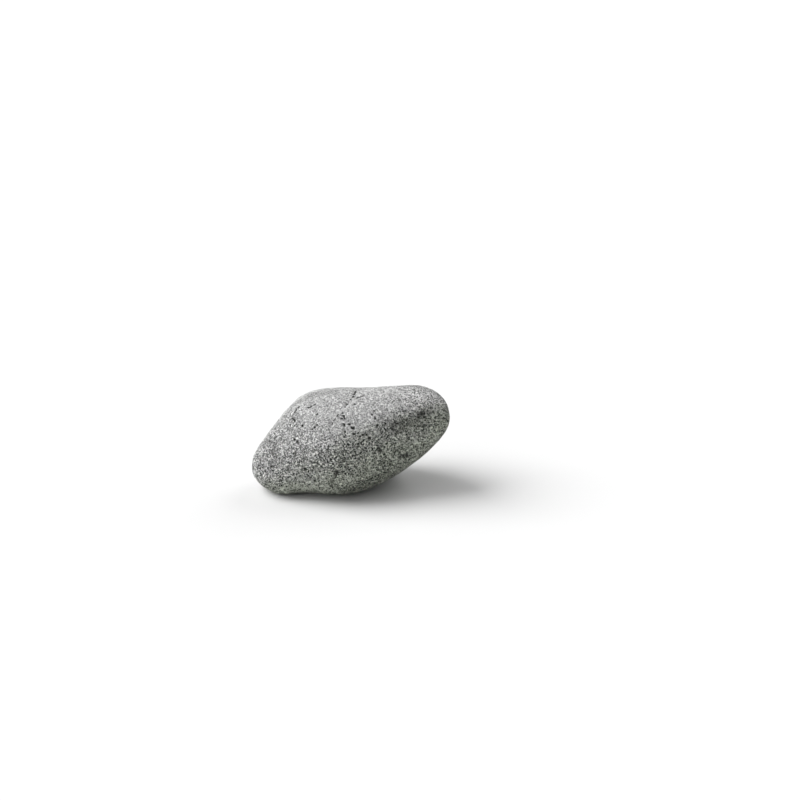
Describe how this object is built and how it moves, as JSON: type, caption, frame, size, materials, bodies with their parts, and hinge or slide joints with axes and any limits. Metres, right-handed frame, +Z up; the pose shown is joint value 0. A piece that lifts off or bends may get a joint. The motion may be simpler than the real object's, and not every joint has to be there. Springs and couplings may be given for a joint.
{
  "type": "river pebble",
  "caption": "Rounded oblong river stone of speckled grey rock, with a broad worn upper face, a saddle across its top, an undercut front and a small flat patch to rest on.",
  "frame": {"origin": "on the floor, under the middle of the stone's bounding box", "axes": "+X along the stone's length, towards the end that rises clear of the floor; +Y from the broad worn front to the back; +Z up as it rests"},
  "size_m": [0.0996, 0.0588, 0.0524],
  "materials": {
    "granodiorite": "water-worn, matte, with dark and pale grains of 0.5 to 1 mm"
  },
  "bodies": {
    "root": {"pebble": "granodiorite"}
  },
  "joints": []
}
